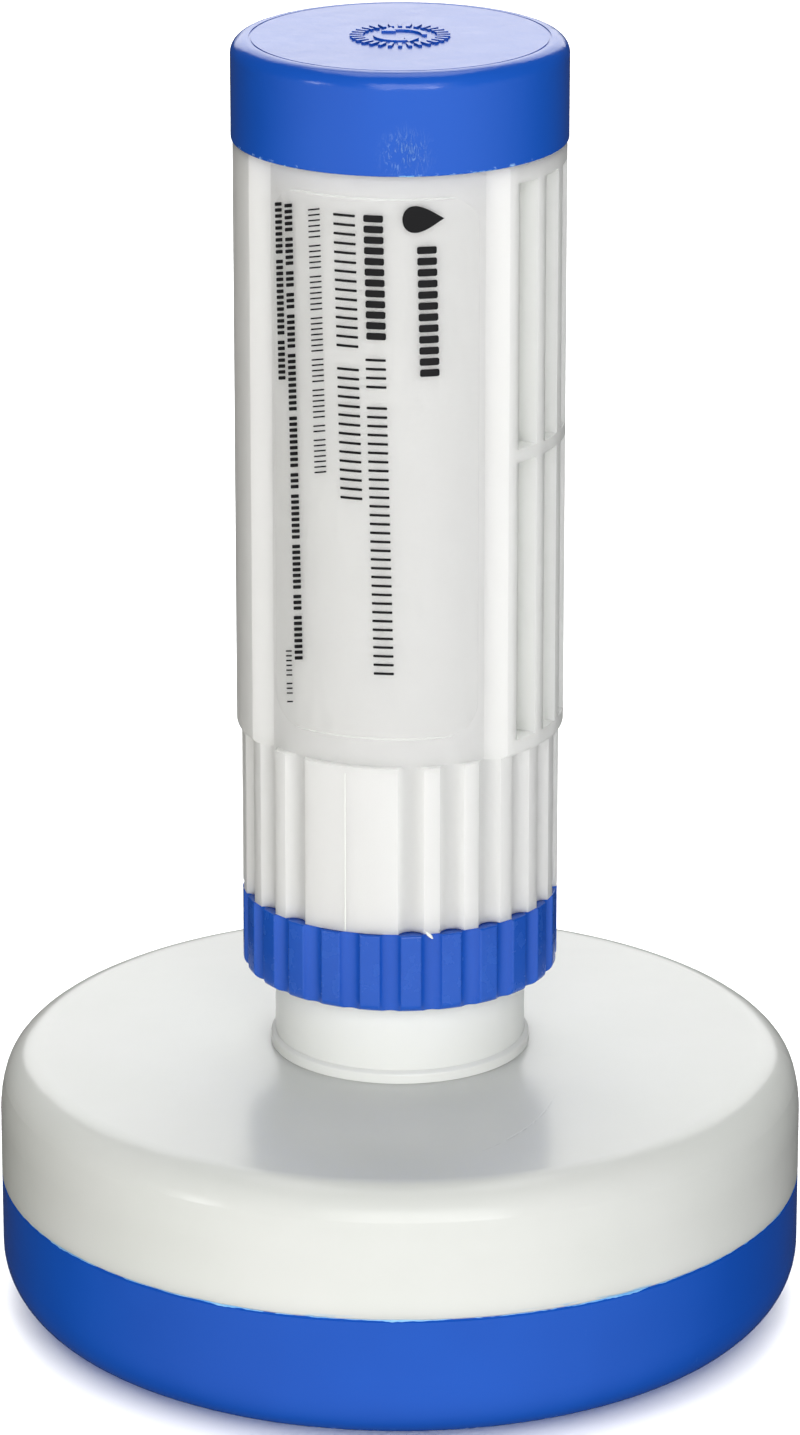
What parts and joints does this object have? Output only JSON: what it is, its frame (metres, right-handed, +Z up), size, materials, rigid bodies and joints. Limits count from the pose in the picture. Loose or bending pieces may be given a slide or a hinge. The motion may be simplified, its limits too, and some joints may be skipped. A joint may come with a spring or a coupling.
{
  "type": "floating chlorine dispenser",
  "caption": "Floating tablet dispenser for a spa: round two-part float, slotted tube inside a turning windowed sleeve with a label recess, ribbed adjuster ring and screw cap.",
  "frame": {"origin": "middle of the float's flat foot, on the surface that the object stands on", "axes": "+Z up along the tube towards the cap, -Y towards the label"},
  "size_m": [0.127, 0.127, 0.2058],
  "materials": {
    "blue_plastic": "glossy moulded polypropylene",
    "white_plastic": "semi-gloss moulded",
    "sleeve_plastic": "semi-gloss moulded",
    "tube_plastic": "satin moulded",
    "inner_plastic": "satin moulded",
    "label_film": "clear printed film",
    "black_rubber": "matte",
    "gasket_foam": "matte foam"
  },
  "bodies": {
    "float_base": {"float_lower_shell": "blue_plastic", "float_upper_shell": "white_plastic", "stem_collar": "white_plastic", "stem_o_ring": "black_rubber", "tablet_tube": "tube_plastic", "tube_end_plug": "tube_plastic", "ring_clip": "inner_plastic", "friction_ring": "black_rubber", "adjuster_ring": "blue_plastic", "sleeve_retainer": "inner_plastic"},
    "sleeve": {"outer_body": "sleeve_plastic", "label_film": "label_film"},
    "cap_carrier": {"cap_gasket": "gasket_foam"},
    "cap": {"cap_shell": "blue_plastic"}
  },
  "joints": [
    {"name": "flow_adjust", "type": "hinge", "parent": "float_base", "child": "sleeve", "pos_m": [0, 0, 0.1], "axis": [0, 0, 1], "range_deg": [0, 45]},
    {"name": "cap_lift", "type": "slide", "parent": "sleeve", "child": "cap_carrier", "axis": [0, 0, 1], "range_m": [0, 0.0201]},
    {"name": "cap_turn", "type": "hinge", "parent": "cap_carrier", "child": "cap", "pos_m": [0, 0, 0.197], "axis": [0, 0, 1], "range_deg": [0, 900]}
  ],
  "couplings": [
    {"joint": "cap_lift", "follows": "cap_turn", "m_per_rad": 0.0012732}
  ]
}
